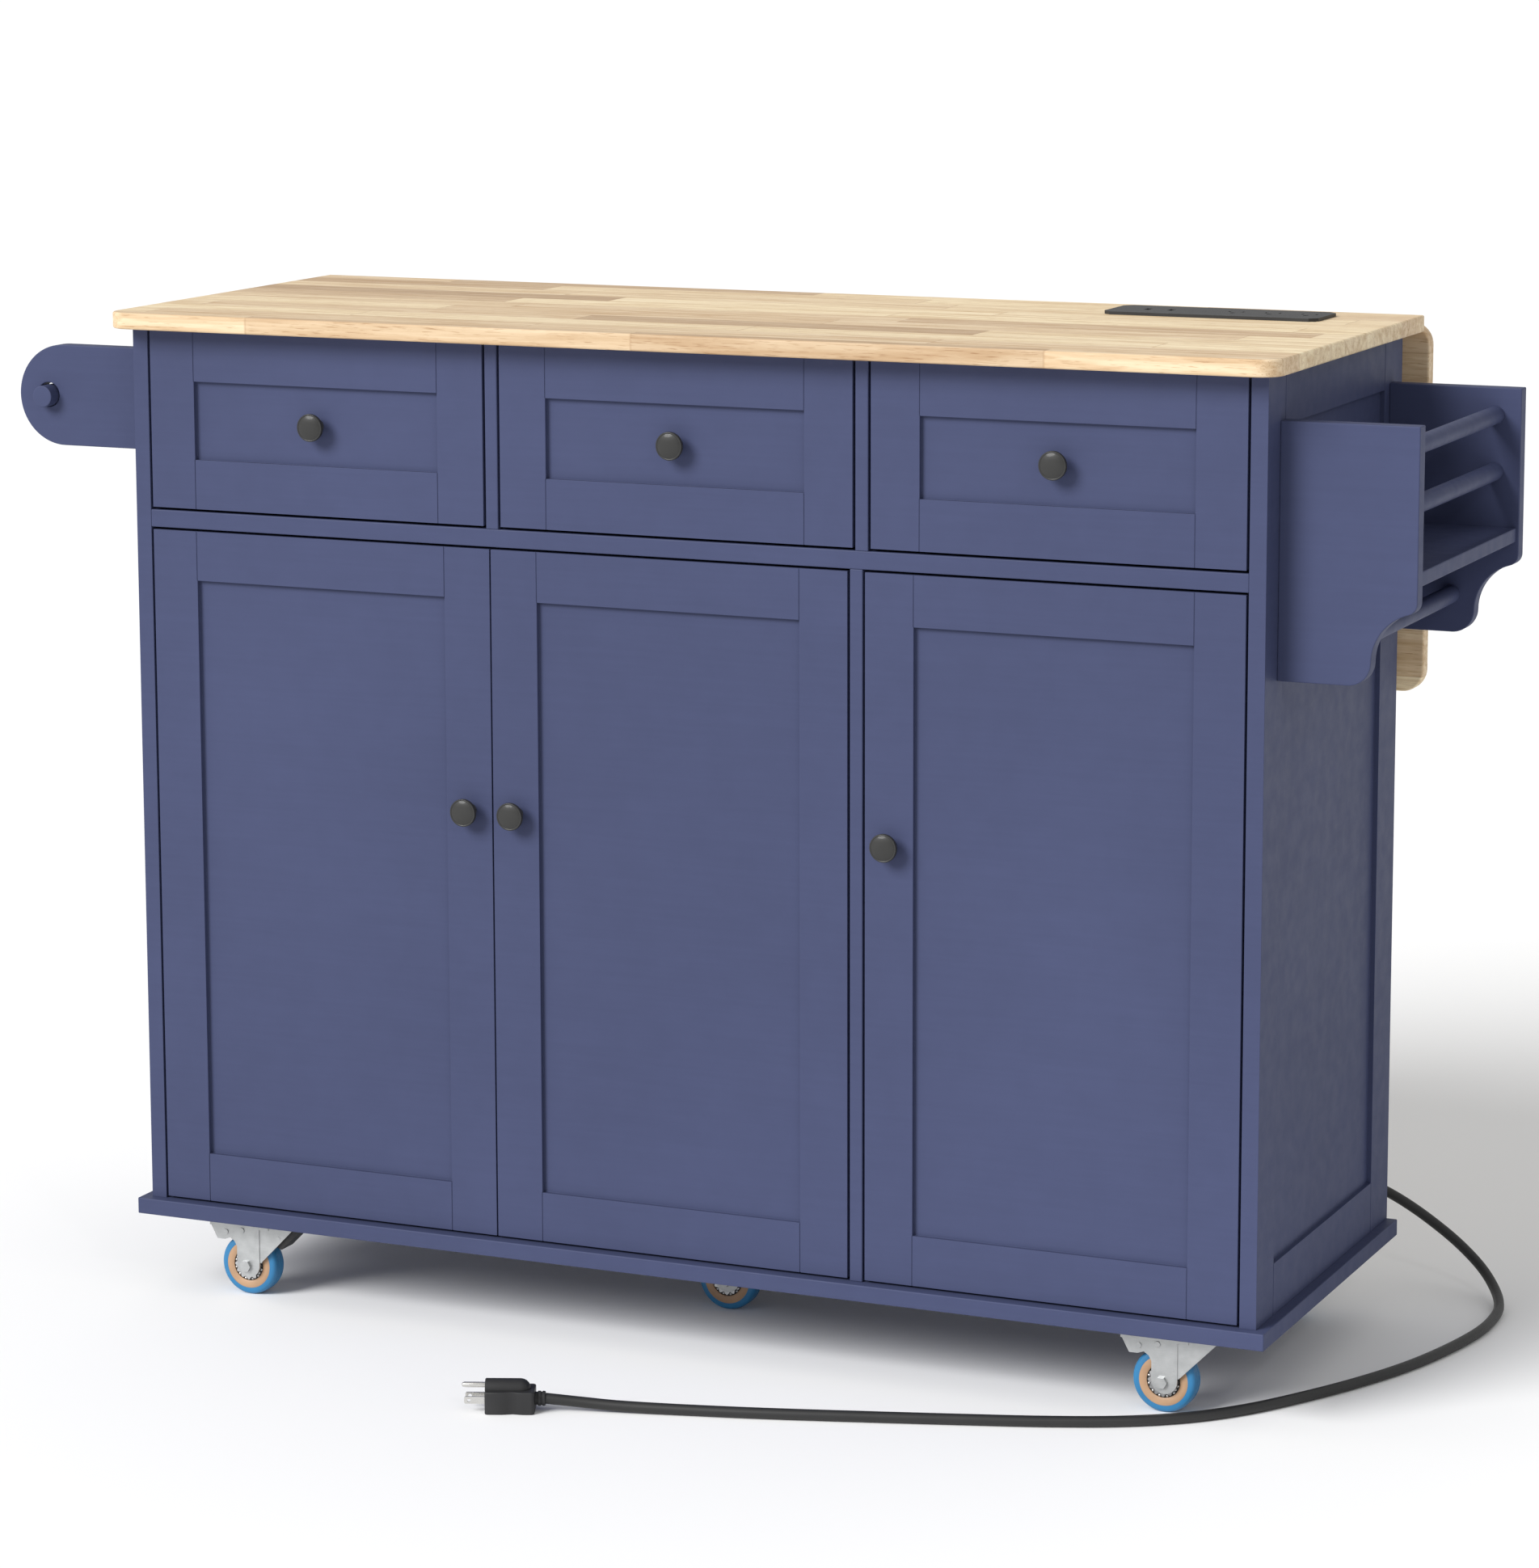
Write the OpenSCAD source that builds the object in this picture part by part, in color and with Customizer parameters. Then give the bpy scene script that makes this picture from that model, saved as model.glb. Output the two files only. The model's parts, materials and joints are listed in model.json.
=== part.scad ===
// Rolling kitchen island: three drawers over three doors, spice rack and towel bar on the
// right, roll holder on the left, drop leaf behind, power strip in the worktop, five casters.
// Millimetres. +Z is up, the drawers face -Y, +X is to the right of someone facing them.

/* [Cabinet] */
// Outside width of the cabinet, over both side panels
body_w = 1079; // [850:1:1300]
// Depth of the cabinet, from the door faces to the back
body_d = 381; // [330:1:470]
// Height of the side panels, from the base board to the worktop
body_h = 813; // [650:1:980]
// Thickness of the side panels
side_t = 15; // [12:0.5:20]
// Thickness of the base board
base_t = 15; // [12:0.5:22]
// How far the base board stands proud in front and at the sides
base_proud = 10; // [4:1:16]
// Thickness of the dividers
divider_t = 12; // [9:0.5:18]
// Thickness of the middle shelf, under the drawers
middle_t = 16; // [12:0.5:20]
// Thickness of the back panel
back_t = 9; // [5:0.5:12]
// Thickness of the adjustable shelves
shelf_t = 15; // [12:0.5:18]
// Height of the adjustable shelves over the base board
shelf_rise = 300; // [200:1:400]
// Depth of the recessed panels in the sides, doors and drawer fronts
recess = 4.5; // [2:0.5:6]
// Width of the frame around a recessed panel
frame_w = 45; // [30:1:60]
// Width of the frame around the side panels' recess
side_frame_w = 46; // [35:1:60]
// Width of that frame along the back edge
side_frame_rear = 52; // [35:1:65]

/* [Worktop and leaf] */
// Thickness of the worktop and of the leaf
top_t = 15; // [12:1:25]
// Worktop overhang in front
top_front = 25; // [15:1:40]
// Worktop overhang at each side
top_side = 15; // [12:1:30]
// Worktop overhang behind
top_rear = 17; // [14:1:24]
// Radius of the worktop's front corners
top_corner_r = 22; // [8:1:40]
// Depth of the drop leaf
leaf_d = 335; // [240:1:400]
// Radius of the leaf's corners
leaf_corner_r = 20; // [8:1:40]
// Gap between worktop and raised leaf
leaf_gap = 2; // [1.5:0.5:4]

/* [Drawers and doors] */
// Height of the opening for the drawers
drawer_h = 166; // [120:1:220]
// Thickness of the doors and drawer fronts
front_t = 15; // [12:0.5:20]
// Clearance around a drawer front
drawer_gap = 2.4; // [1.5:0.1:4]
// Clearance around a door
door_gap = 2.2; // [1.5:0.1:4]
// Clearance between the two doors that meet
meeting_gap = 1.4; // [1:0.1:3]
// Depth of a drawer box behind its front
box_d = 268; // [200:1:270]
// Height of a drawer box
box_h = 112; // [60:1:120]
// Thickness of a drawer box's walls
box_wall = 10; // [8:0.5:14]
// Diameter of a knob
knob_d = 25; // [18:1:34]
// How far a knob stands out
knob_out = 16; // [12:1:24]
// Height of a door's knob over the door's bottom edge
door_knob_rise = 390; // [200:1:440]

/* [Right rack] */
// How far the rack stands out
rack_out = 120; // [90:1:180]
// Height of the rack's end panels
rack_h = 219; // [180:1:300]
// Distance of the rack's top below the top of the side panels
rack_drop = 41; // [20:1:80]
// Distance of the rack and of the roll holder behind the door faces
rack_front = 32; // [20:1:60]
// Distance of the rack and of the roll holder from the back
rack_rear = 23; // [15:1:60]
// Thickness of the rack's end panels and of the holder's plates
plate_t = 15; // [10:0.5:18]
// Thickness of the rack's shelf
rack_shelf_t = 12.5; // [9:0.5:18]
// Height of the rack's shelf top over the bottom of the end panels
rack_shelf_rise = 96; // [84:1:120]
// Diameter of the rack's rails and towel bar
rail_d = 16; // [10:1:22]

/* [Left roll holder] */
// How far the holder's plates stand out
holder_out = 141; // [110:1:180]
// Height of the holder's plates
holder_h = 93; // [70:1:120]
// Distance of the holder's top below the top of the side panels
holder_drop = 23; // [12:1:60]
// Diameter of the loose rod
rod_d = 20; // [14:1:26]
// Clearance of the rod in its holes, all round
rod_play = 1.2; // [0.6:0.1:2]

/* [Casters] */
// Height of a caster, from the floor to the base board
caster_h = 75; // [70:1:95]
// Diameter of a caster wheel
wheel_d = 57; // [50:1:60]
// Width of a caster wheel
wheel_w = 20; // [16:1:24]
// Distance of the axle behind the swivel axis
trail = 12; // [8:1:16]
// Distance of a corner wheel from the outside of the cabinet, sideways
wheel_side = 89.5; // [60:0.5:160]
// Distance of a corner wheel from the front or back of the cabinet
wheel_in = 30; // [26:1:60]

/* [Power strip and cord] */
// Length of the power strip
strip_l = 200; // [180:1:230]
// Width of the power strip
strip_w = 65; // [55:1:70]
// Distance of the strip's end from the outside of the cabinet
strip_inset = 54; // [44:1:90]
// Distance of the strip's flange from the worktop's back edge
strip_rear = 36; // [30:1:60]
// Diameter of the cord
cord_d = 9.5; // [7:0.5:11]

/* [Hidden] */
$fn = 64;

// Heights
base_top = caster_h + base_t;
side_top = base_top + body_h;
worktop_top = side_top + top_t;
middle_top = side_top - drawer_h;
middle_low = middle_top - middle_t;
inner_w = body_w - 2 * side_t;
inner_x = inner_w / 2;
back_in = body_d - back_t;
slit = 0.05;              // kept between pieces that are glued into one node
eps = 0.01;               // overlap of a cutting shape past the face that it cuts

// The origin is under the middle of the object's box, on the floor
x_low = -body_w / 2 - holder_out;
x_high = body_w / 2 + rack_out;
pin_back = 12;            // leaf's hinge axis behind the worktop's back edge
pin_low = 4;              // leaf's hinge axis below the worktop
y_low = -top_front;
y_high = body_d + top_rear + pin_back + pin_low + top_t;
origin_shift = [-(x_low + x_high) / 2, -(y_low + y_high) / 2, 0];
module place() translate(origin_shift) children();

// Colours
paint = [0.33, 0.36, 0.50];
timber = [0.86, 0.74, 0.58];
zinc = [0.70, 0.71, 0.71];
black = [0.12, 0.12, 0.13];
inside_white = [0.83, 0.80, 0.75];

// A board from one corner to the opposite one
module board(low, high) translate(low) cube(high - low);

// A rectangle with its four corners rounded, front corners by r_front, back ones by r_back
module round_rect(size, r_front, r_back) {
    module corner(x, y, r) translate([x, y]) circle(r);
    r_big = max(r_front, r_back, 1);
    translate([r_big, 0]) square([size.x - 2 * r_big, size.y]);
    if (r_front > 0) {
        for (x = [r_front, size.x - r_front]) corner(x, r_front, r_front);
    }
    if (r_back > 0) {
        for (x = [r_back, size.x - r_back]) corner(x, size.y - r_back, r_back);
    }
    translate([0, r_front]) square([size.x, size.y - r_front - r_back]);
    if (r_front < r_big) square([size.x, size.y - r_back]);
    if (r_back < r_big) translate([0, r_front]) square([size.x, size.y - r_front]);
}

// ---------------------------------------------------------------- cabinet
groove_w = 1;             // joint line between a stile and a rail
groove_deep = 0.6;

// Front face of a framed panel at y = 0 with its recess, in a w x h x t board
module framed_panel(w, h, t, border, deep, far_border) {
    difference() {
        cube([w, t, h]);
        translate([border, -1, border]) cube([w - border - far_border, deep + 1, h - 2 * border]);
        for (x = [border, w - far_border]) {
            translate([x - groove_w / 2, -1, -eps]) cube([groove_w, groove_deep + 1, border + eps]);
            translate([x - groove_w / 2, -1, h - border]) {
                cube([groove_w, groove_deep + 1, border + eps]);
            }
        }
    }
}

// A side panel, lying in the YZ plane with its recess towards +X
module side_panel() {
    rotate([0, 0, 90]) framed_panel(body_d, body_h, side_t, side_frame_w, recess, side_frame_rear);
}

top_w = body_w + 2 * top_side;
top_d = top_front + body_d + top_rear;
cut_play = 1;             // clearance of the strip's housing in the worktop
flange_lap = 3.5;         // how far the strip's flange covers the worktop
housing_l = strip_l - 2 * (flange_lap + cut_play);
housing_w = strip_w - 2 * (flange_lap + cut_play);
strip_x = body_w / 2 - strip_inset - strip_l / 2;
strip_y = body_d + top_rear - strip_rear - strip_w / 2;

module worktop() color(timber) place() {
    difference() {
        translate([-top_w / 2, -top_front, side_top]) linear_extrude(top_t)
            round_rect([top_w, top_d], top_corner_r, 0);
        translate([strip_x - housing_l / 2 - cut_play, strip_y - housing_w / 2 - cut_play, side_top - 1])
            cube([housing_l + 2 * cut_play, housing_w + 2 * cut_play, top_t + 2]);
    }
}

module base_board() color(paint) place() {
    board([-body_w / 2 - base_proud, -base_proud, caster_h],
          [body_w / 2 + base_proud, body_d, base_top]);
}

module right_side() color(paint) place() {
    translate([body_w / 2, 0, base_top]) side_panel();
}

module left_side() color(paint) place() {
    mirror([1, 0, 0]) translate([body_w / 2, 0, base_top]) side_panel();
}

gland_x = inner_x - 79.5;
gland_z = base_top + 18;
gland_r = 9;              // neck of the cord gland, through the back panel
gland_lip = 3;            // thickness of its two lips

module back_panel() color(inside_white) place() {
    difference() {
        board([-inner_x, back_in, base_top], [inner_x, body_d, side_top]);
        translate([gland_x, back_in - 1, gland_z]) rotate([-90, 0, 0]) cylinder(r = gland_r, h = back_t + 2);
    }
}

lead_d = 8;               // lead from the strip down to the gland, inside the cabinet
lead_x = strip_x + strip_l / 2 - 22;
lead_y = back_in - 8;
notch = 16;

module middle_shelf() color(paint) place() {
    difference() {
        board([-inner_x, 0, middle_low], [inner_x, back_in, middle_top]);
        translate([lead_x - notch / 2, back_in - notch, middle_low - 1]) {
            cube([notch, notch + 1, middle_t + 2]);
        }
    }
}

door_w = (inner_w - divider_t - 4 * door_gap - meeting_gap) / 3;
// Three doors of one width: two meet in the wide left bay, one fills the right bay
door_x = [
    -inner_x + door_gap,
    -inner_x + door_gap + door_w + meeting_gap,
    inner_x - door_gap - door_w
];
door_divider_x = door_x[1] + door_w + door_gap;

module door_divider() color(paint) place() {
    board([door_divider_x, 0, base_top], [door_divider_x + divider_t, back_in, middle_low]);
}

drawer_bay = (inner_w - 2 * divider_t) / 3;
function drawer_bay_x(i) = -inner_x + i * (drawer_bay + divider_t);

module drawer_dividers() color(paint) place() {
    for (i = [0, 1]) {
        x = drawer_bay_x(i) + drawer_bay;
        board([x, 0, middle_top], [x + divider_t, back_in, side_top]);
    }
}

shelf_play = 1;           // clearance of an adjustable shelf at its ends
shelf_front = front_t + 12;
shelf_back = back_in - notch;
shelf_low = base_top + shelf_rise;
bays = [
    [-inner_x, door_divider_x],
    [door_divider_x + divider_t, inner_x]
];

module adjustable_shelves() color(inside_white) place() {
    for (bay = bays) {
        board([bay[0] + shelf_play, shelf_front, shelf_low],
              [bay[1] - shelf_play, shelf_back, shelf_low + shelf_t]);
    }
}

pin_r = 2.5;
pin_out = 9;

module shelf_pins() color(zinc) place() {
    for (bay = bays, y = [shelf_front + 40, shelf_back - 40]) {
        translate([bay[0], y, shelf_low - pin_r]) rotate([0, 90, 0]) cylinder(r = pin_r, h = pin_out);
        translate([bay[1], y, shelf_low - pin_r]) rotate([0, -90, 0]) cylinder(r = pin_r, h = pin_out);
    }
}

// ---------------------------------------------------------------- drawers
runner_gap = 12.5;        // room for a runner at each side of a drawer box
runner_h = 32;
runner_l = box_d - 16;
runner_z = middle_top + 58;
runner_sheet = 1.5;
inner_member = 5;         // thickness of the member that moves with the drawer
front_w = drawer_bay - 2 * drawer_gap;
front_h = drawer_h - 2 * drawer_gap;
box_w = drawer_bay - 2 * runner_gap;
box_low = middle_top + 12;

// A C-shaped channel, its open side towards +X
module runner_channel(wide) {
    difference() {
        cube([wide, runner_l, runner_h]);
        translate([runner_sheet, -1, runner_sheet]) {
            cube([wide, runner_l + 2, runner_h - 2 * runner_sheet]);
        }
        translate([wide - runner_sheet, -1, runner_h * 0.2]) cube([wide, runner_l + 2, runner_h * 0.6]);
    }
}

module fixed_runners() color(zinc) place() {
    for (i = [0:2]) {
        x = drawer_bay_x(i);
        translate([x, front_t + 3, runner_z]) runner_channel(runner_gap - 2);
        translate([x + drawer_bay, front_t + 3, runner_z]) mirror([1, 0, 0]) runner_channel(runner_gap - 2);
    }
}

module drawer_front(i) color(paint) place() {
    translate([drawer_bay_x(i) + drawer_gap, 0, middle_top + drawer_gap])
        framed_panel(front_w, front_h, front_t, frame_w, recess, frame_w);
}

// Box of separate boards: two sides, back, inner front, bottom, and the runners' inner members
module drawer_box(i) color(timber) place() {
    x0 = drawer_bay_x(i) + runner_gap;
    x1 = x0 + box_w;
    y0 = front_t + slit;
    y1 = front_t + box_d;
    z1 = box_low + box_h;
    bottom_t = 5;
    bottom_z = box_low + 8;
    for (x = [x0, x1 - box_wall]) board([x, y0, box_low], [x + box_wall, y1, z1]);
    for (y = [y0, y1 - box_wall]) {
        board([x0 + box_wall + slit, y, box_low], [x1 - box_wall - slit, y + box_wall, z1]);
    }
    board([x0 + box_wall + slit, y0 + box_wall + slit, bottom_z],
          [x1 - box_wall - slit, y1 - box_wall - slit, bottom_z + bottom_t]);
    member_h = runner_h * 0.5;
    member_z = runner_z + (runner_h - member_h) / 2;
    for (x = [x0 - slit - inner_member, x1 + slit]) {
        board([x, front_t + 4, member_z], [x + inner_member, front_t + 3 + runner_l - 4, member_z + member_h]);
    }
}

// A mushroom knob that stands out towards -Y from a face at y = 0
module knob_shape() {
    head_r = knob_d / 2;
    rotate([90, 0, 0]) rotate_extrude($fn = 64) polygon([
        [0, 0], [7, 0], [7, 1.5], [4.5, 3.5], [4.5, knob_out - 7],
        [head_r - 3, knob_out - 5.5], [head_r, knob_out - 4.5], [head_r, knob_out - 2.2],
        [head_r - 1.2, knob_out - 1], [head_r - 5, knob_out - 0.3], [0, knob_out]
    ]);
}

module drawer_knob(i) color(black) place() {
    translate([drawer_bay_x(i) + drawer_bay / 2, recess, middle_top + drawer_h / 2]) knob_shape();
}

// ---------------------------------------------------------------- doors
door_h = middle_low - base_top - 2 * door_gap;
door_low = base_top + door_gap;
knob_in = frame_w / 2;    // knob centre from the door's free edge
knob_z = door_low + door_knob_rise;
hinge_z = [door_low + 90, door_low + door_h - 90];
cup_r = 17.5;
cup_in = 22.5;            // cup centre from the hinged edge
cup_deep = 11;

// -1 where the door is hinged at its left edge, 1 where at its right edge
hinge_side = [-1, 1, 1];
function hinged_edge(i) = hinge_side[i] < 0 ? door_x[i] : door_x[i] + door_w;
function free_edge(i) = hinge_side[i] < 0 ? door_x[i] + door_w : door_x[i];

module door(i) color(paint) place() {
    difference() {
        translate([door_x[i], 0, door_low]) framed_panel(door_w, door_h, front_t, frame_w, recess, frame_w);
        for (z = hinge_z) {
            translate([hinged_edge(i) - hinge_side[i] * cup_in, front_t - cup_deep, z])
                rotate([-90, 0, 0]) cylinder(r = cup_r, h = cup_deep + 1);
        }
    }
}

module door_knob(i) color(black) place() {
    translate([free_edge(i) + hinge_side[i] * knob_in, 0, knob_z]) knob_shape();
}

// The moving half of the door's two hinges: cup, flange and knuckle
module door_hinges(i) color(zinc) place() {
    s = hinge_side[i];
    for (z = hinge_z) translate([hinged_edge(i) - s * cup_in, front_t, z]) {
        difference() {
            translate([0, -cup_deep + slit, 0]) rotate([-90, 0, 0]) {
                cylinder(r = cup_r - slit, h = cup_deep - slit);
            }
            translate([0, -cup_deep + 1.5, 0]) rotate([-90, 0, 0]) cylinder(r = cup_r - 1.5, h = cup_deep);
        }
        difference() {
            board([-6, slit, -30], [6, 1.5, 30]);
            translate([0, -1, 0]) rotate([-90, 0, 0]) cylinder(r = cup_r - 1.5, h = 4);
        }
        board([min(0, s * 15), -6, -8], [max(0, s * 15), 4, 8]);
    }
}

// The fixed half: an arm on its plate, on the side panel or the divider
module hinge_plates() color(zinc) place() {
    wall = [-inner_x, door_divider_x, inner_x];
    for (i = [0:2], z = hinge_z) translate([wall[i], 0, z]) scale([-hinge_side[i], 1, 1]) {
        board([0, 28, -24], [1.5, 46, 24]);
        board([1.5, 24, -6], [13, 86, 6]);
    }
}

// ---------------------------------------------------------------- roll holder, left
holder_r = holder_h / 2;
holder_z = side_top - holder_drop - holder_r;
rod_hole_x = -body_w / 2 - holder_out + 30.5;
rod_hole_r = rod_d / 2 + rod_play;
rod_lift = 0.4;           // air under the rod in its holes
rod_z = holder_z - rod_play + rod_lift;
rod_out = 12;             // how far the rod reaches past the plates
plate_y = [rack_front, body_d - rack_rear - plate_t];

module holder_plates() color(paint) place() {
    for (y = plate_y) {
        difference() {
            union() {
                translate([-body_w / 2 - holder_out + holder_r, y, holder_z]) rotate([-90, 0, 0])
                    cylinder(r = holder_r, h = plate_t);
                board([-body_w / 2 - holder_out + holder_r, y, holder_z - holder_r],
                      [-body_w / 2, y + plate_t, holder_z + holder_r]);
            }
            translate([rod_hole_x, y - 1, holder_z]) rotate([-90, 0, 0]) {
                cylinder(r = rod_hole_r, h = plate_t + 2);
            }
        }
    }
}

module towel_rod() color(paint) place() {
    translate([rod_hole_x, plate_y[0] - rod_out, rod_z]) rotate([-90, 0, 0])
        cylinder(d = rod_d, h = plate_y[1] + plate_t + rod_out - (plate_y[0] - rod_out));
}

// ---------------------------------------------------------------- rack, right
rack_low = side_top - rack_drop - rack_h;
rack_x = body_w / 2;
foot_r = 20;              // convex round at the foot of the ogee
ogee_r = 44;              // hollow of the ogee
tip_r = 10;               // convex round where the ogee meets the front edge
foot_w = rack_out - 59;   // flat bottom of an end panel
hollow = [foot_w + foot_r + ogee_r, foot_r];
tip_x = rack_out - tip_r;
tip_z = foot_r + sqrt(pow(ogee_r + tip_r, 2) - pow(hollow.x - tip_x, 2));
meet_x = hollow.x + (tip_x - hollow.x) * ogee_r / (ogee_r + tip_r);

module rack_end_outline() {
    difference() {
        union() {
            square([foot_w, rack_h]);
            translate([foot_w, foot_r]) circle(foot_r);
            translate([0, foot_r]) square([meet_x, rack_h - foot_r]);
            translate([tip_x, tip_z]) circle(tip_r);
            translate([0, tip_z]) square([rack_out, rack_h - tip_z]);
        }
        translate(hollow) circle(ogee_r, $fn = 96);
    }
}

module rack_ends() color(paint) place() {
    for (y = plate_y) {
        translate([rack_x, y + plate_t, rack_low]) rotate([90, 0, 0]) linear_extrude(plate_t)
            rack_end_outline();
    }
}

rack_in_low = plate_y[0] + plate_t;
rack_in_high = plate_y[1];
rack_shelf_top = rack_low + rack_shelf_rise;
rail_x = rack_x + rack_out - 23;
rail_z = [rack_low + rack_h - 24, rack_low + rack_h - 74];
bar_x = rack_x + foot_w - 1;
bar_z = rack_low + 34;

module rack_shelf() color(paint) place() {
    board([rack_x, rack_in_low, rack_shelf_top - rack_shelf_t],
          [rack_x + rack_out - 2.5, rack_in_high, rack_shelf_top]);
}

module dowel(x, z) {
    translate([x, rack_in_low, z]) rotate([-90, 0, 0]) cylinder(d = rail_d, h = rack_in_high - rack_in_low);
}

module rack_rails() color(paint) place() {
    for (z = rail_z) dowel(rail_x, z);
}

module towel_bar() color(paint) place() dowel(bar_x, bar_z);

// ---------------------------------------------------------------- power strip
flange_t = 3;
housing_h = 36;
outlet_pitch = 34;
outlet_first = 18;        // first outlet from the strip's right end
outlet_count = 3;
slot_gap = 12.7;          // between the two blade slots of an outlet
outlet_rise = 11.9;       // between the ground hole and the line of the slots
outlet_deep = 22;         // depth of an outlet's holes
ground_hole_r = 2.5;
usb_pitch = 22;
usb_size = [5.2, 13];
usb_deep = 12;

module outlet_holes() {
    for (i = [0:outlet_count - 1]) {
        translate([strip_l / 2 - outlet_first - i * outlet_pitch, 0, 0]) {
            for (side = [-1, 1]) {
                translate([side * slot_gap / 2 - 0.9, 2, 0]) cube([1.8, 7.4, outlet_deep + 1]);
            }
            translate([0, 5.7 - outlet_rise, 0]) cylinder(r = ground_hole_r, h = outlet_deep + 1);
        }
    }
}

module power_strip() color(black) place() {
    translate([strip_x, strip_y, worktop_top]) difference() {
        union() {
            translate([-strip_l / 2, -strip_w / 2, 0]) linear_extrude(flange_t) difference() {
                square([strip_l, strip_w]);
                for (x = [0, strip_l], y = [0, strip_w]) {
                    translate([x, y]) rotate(45) square(10, center = true);
                }
            }
            board([-housing_l / 2, -housing_w / 2, -housing_h], [housing_l / 2, housing_w / 2, eps]);
        }
        translate([0, 0, flange_t - outlet_deep]) outlet_holes();
        for (i = [0, 1]) {
            translate([-strip_l / 2 + 30 + i * usb_pitch, -usb_size.y / 2, flange_t - usb_deep]) {
                cube([usb_size.x, usb_size.y, usb_deep + 1]);
            }
        }
    }
    // lead inside the cabinet: down behind the drawer, then along to the gland
    lead_top = worktop_top - housing_h;
    translate([lead_x, lead_y, gland_z]) cylinder(d = lead_d, h = lead_top - gland_z - 8);
    translate([lead_x, strip_y + housing_w / 2 - 6, lead_top - 8]) rotate([-90, 0, 0])
        cylinder(d = lead_d, h = lead_y - (strip_y + housing_w / 2 - 6));
    translate([lead_x, lead_y, lead_top - 8]) sphere(d = lead_d);
    translate([lead_x, strip_y + housing_w / 2 - 6, lead_top - 8]) cylinder(d = lead_d, h = 8);
    translate([lead_x, lead_y, gland_z]) sphere(d = lead_d);
    translate([gland_x, lead_y, gland_z]) rotate([0, 90, 0]) cylinder(d = lead_d, h = lead_x - gland_x);
    translate([gland_x, lead_y, gland_z]) sphere(d = lead_d);
    translate([gland_x, lead_y, gland_z]) rotate([-90, 0, 0]) cylinder(d = lead_d, h = back_in - gland_lip - lead_y);
}

// ---------------------------------------------------------------- drop leaf, shown hanging
pin_y = body_d + top_rear + pin_back;
pin_z = side_top - pin_low;
leaf_face = pin_y + pin_low;
leaf_top = pin_z + pin_back - leaf_gap;
leaf_low = leaf_top - leaf_d;
strap_in = 124.5;         // outer hinges from the leaf's ends
hinge_x = [-top_w / 2 + strap_in, 0, top_w / 2 - strap_in];
knuckle_w = 16;
strap_t = 2;
strap_l = 60;
sheet = 2.5;
hinge_pin_r = 1.5;

module drop_leaf() color(timber) place() {
    translate([-top_w / 2, leaf_face + top_t, leaf_low]) rotate([90, 0, 0]) linear_extrude(top_t)
        round_rect([top_w, leaf_d], leaf_corner_r, leaf_corner_r);
}

module leaf_straps() color(zinc) place() {
    for (x = hinge_x) translate([x, pin_y, pin_z]) difference() {
        union() {
            translate([-knuckle_w / 2, 0, 0]) rotate([0, 90, 0]) cylinder(r = pin_low - slit, h = knuckle_w);
            board([-knuckle_w / 2, pin_low - strap_t, -strap_l], [knuckle_w / 2, pin_low - slit, 0]);
        }
        translate([-knuckle_w, 0, 0]) rotate([0, 90, 0]) cylinder(r = hinge_pin_r + 0.05, h = 2 * knuckle_w);
    }
}

brace_x = [-250, 250];
brace_drop = 140;         // brace pivot below the hinge axis
brace_l = 175;            // from the brace's pivot to its tip
brace_r = 6;
brace_t = 4;
brace_pin_r = 3;
brace_y = body_d + 17;
brace_z = pin_z - brace_drop;
ear_play = 0.4;

// Fixed halves of the leaf's hinges and the pivots of its braces, on the back of the cabinet
module leaf_brackets() color(zinc) place() {
    ear = 3;
    for (x = hinge_x) {
        board([x - 22, body_d, pin_z - 46], [x + 22, body_d + sheet, pin_z + 2]);
        for (side = [-1, 1]) {
            x0 = x + side * (knuckle_w / 2 + ear_play + ear / 2);
            board([x0 - ear / 2, body_d + sheet - eps, pin_z - 8], [x0 + ear / 2, pin_y, pin_z + 3.4]);
            translate([x0 - ear / 2, pin_y, pin_z]) rotate([0, 90, 0]) cylinder(r = 3.5, h = ear);
        }
        translate([x - knuckle_w / 2 - ear_play - ear, pin_y, pin_z]) rotate([0, 90, 0])
            cylinder(r = hinge_pin_r, h = knuckle_w + 2 * (ear_play + ear));
    }
    for (x = brace_x) {
        board([x - 20, body_d, brace_z - 30], [x + 20, body_d + sheet, brace_z + 30]);
        for (side = [-1, 1]) {
            x0 = x + side * (brace_t / 2 + ear_play + ear / 2);
            board([x0 - ear / 2, body_d + sheet - eps, brace_z - 7], [x0 + ear / 2, brace_y, brace_z + 7]);
            translate([x0 - ear / 2, brace_y, brace_z]) rotate([0, 90, 0]) cylinder(r = 7, h = ear);
        }
        translate([x - brace_t / 2 - ear_play - ear, brace_y, brace_z]) rotate([0, 90, 0])
            cylinder(r = brace_pin_r, h = brace_t + 2 * (ear_play + ear));
    }
}

module leaf_brace(x) color(zinc) place() {
    translate([x - brace_t / 2, brace_y, brace_z]) rotate([0, 90, 0]) difference() {
        union() {
            cylinder(r = brace_r, h = brace_t);
            translate([0, -brace_r, 0]) cube([brace_l, 2 * brace_r, brace_t]);
            translate([brace_l, 0, 0]) cylinder(r = brace_r, h = brace_t);
        }
        translate([0, 0, -1]) cylinder(r = brace_pin_r + 0.06, h = brace_t + 2);
    }
}

// ---------------------------------------------------------------- casters
wheel_r = wheel_d / 2;
plate_l = 62;
plate_w = 56;
caster_plate_t = 2.5;
race_r = 23;
race_h = 5;
web_t = 2.8;
kingpin_r = 4;
cheek_t = 2;
cheek_in = wheel_w / 2 + 2;
web_top = caster_h - caster_plate_t - race_h - 0.3;
web_low = web_top - web_t;
axle_r = 3;
screw_x = 23;
screw_y = 21;
rear_y = body_d - wheel_in - wheel_w;
centre_wheel = [-20, 160];
wheel_x = body_w / 2 - wheel_side;
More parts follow.
